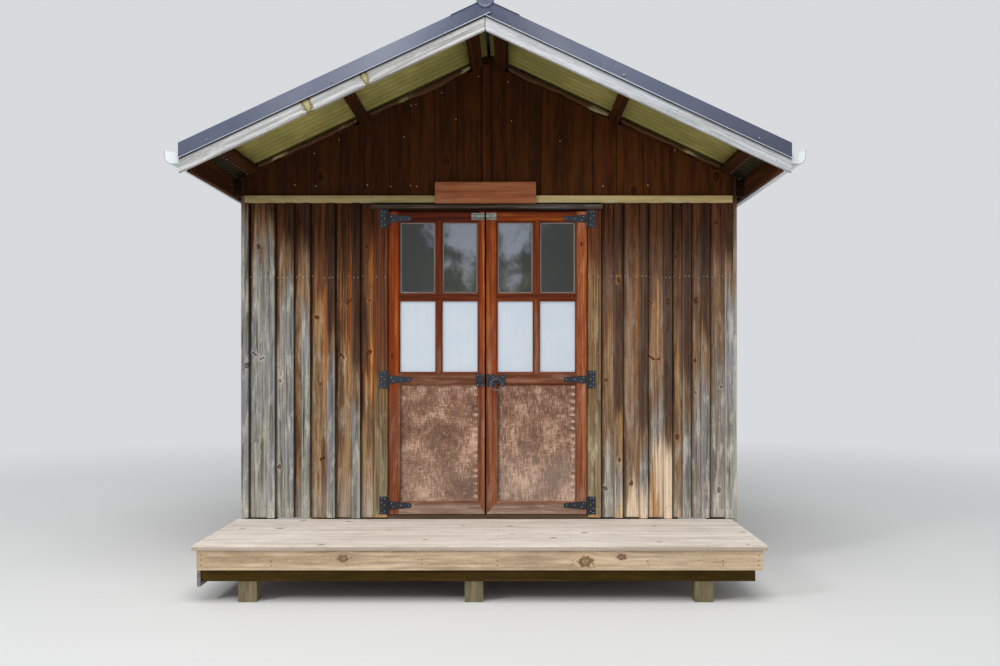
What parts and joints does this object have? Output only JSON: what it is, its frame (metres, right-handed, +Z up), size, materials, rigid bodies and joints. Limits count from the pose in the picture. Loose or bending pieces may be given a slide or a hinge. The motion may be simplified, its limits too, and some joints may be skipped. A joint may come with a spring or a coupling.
{
  "type": "beach house",
  "caption": "Small timber cabin with board and batten walls, a gabled corrugated iron roof, glazed double doors and a front deck on stumps.",
  "frame": {"origin": "On the level ground under the middle of the building's overall box, between the gutters and between the deck's front edge and the back eave.", "axes": "+X to the right seen from the front, +Y from the deck through the doors to the back of the house, +Z up. The doors and the deck face -Y."},
  "size_m": [3.52, 4.3274, 3.3298],
  "materials": {
    "stump_timber": "weathered grey treated pine",
    "framing_timber": "rough sawn treated pine",
    "floor_timber": "bare ply floor",
    "fresh_pine": "dressed pine, lightly weathered",
    "deck_timber": "bleached deck boards",
    "dark_timber": "dark brown stained pine",
    "wall_timber": "brown stain weathered to silver grey",
    "cream_timber": "pale cream pine",
    "door_timber": "red brown stain",
    "door_panel": "weathered stained ply",
    "sign_timber": "stained sign board, bare",
    "barge_timber": "weathered pale barge board",
    "roof_iron": "blue grey colour coated steel",
    "gutter_white": "white colour coated steel",
    "door_glass": "clear above, frosted below",
    "black_iron": "black japanned iron",
    "bolt_steel": "zinc plated steel"
  },
  "bodies": {
    "house": {"piles": "stump_timber", "bearers": "framing_timber", "floor_joists": "framing_timber", "floor_boards": "floor_timber", "deck_ledger": "framing_timber", "deck_joists": "framing_timber", "deck_fascia": "fresh_pine", "deck_side_board": "stump_timber", "deck_boards": "deck_timber", "end_plates": "framing_timber", "side_plates": "framing_timber", "studs": "framing_timber", "dwangs": "framing_timber", "rafters": "framing_timber", "ridge_board": "framing_timber", "purlins": "dark_timber", "front_wall_left": "wall_timber", "front_wall_right": "wall_timber", "front_gable": "dark_timber", "left_wall": "wall_timber", "right_wall": "wall_timber", "back_wall": "wall_timber", "cream_band": "cream_timber", "door_trims": "wall_timber", "door_jambs": "door_timber", "door_head": "door_timber", "drip_board": "stump_timber", "door_sill": "dark_timber", "sign_board": "sign_timber", "roof_left": "roof_iron", "roof_right": "roof_iron", "ridge_cap": "roof_iron", "barge_boards": "barge_timber", "barge_flashings": "roof_iron", "fascia_boards": "fresh_pine", "gutters": "gutter_white", "hinge_plates": "black_iron"},
    "left_door": {"left_door_frame": "door_timber", "left_door_panel": "door_panel", "left_glass": "door_glass", "left_straps": "black_iron", "door_bolt": "bolt_steel", "latch_catch": "black_iron"},
    "right_door": {"right_door_frame": "door_timber", "right_door_panel": "door_panel", "right_glass": "door_glass", "right_straps": "black_iron", "bolt_keeper": "bolt_steel", "latch_plate": "black_iron"},
    "ring": {"ring_handle": "black_iron"}
  },
  "joints": [
    {"name": "left_door_hinge", "type": "hinge", "parent": "house", "child": "left_door", "pos_m": [-0.632, -1.31175, 1.3], "axis": [0, 0, -1], "range_deg": [0, 165]},
    {"name": "right_door_hinge", "type": "hinge", "parent": "house", "child": "right_door", "pos_m": [0.615, -1.31175, 1.3], "axis": [0, 0, 1], "range_deg": [0, 165]},
    {"name": "ring_turn", "type": "hinge", "parent": "right_door", "child": "ring", "pos_m": [0.046, -1.32525, 1.198], "axis": [0, 1, 0], "range_deg": [-40, 40]}
  ]
}
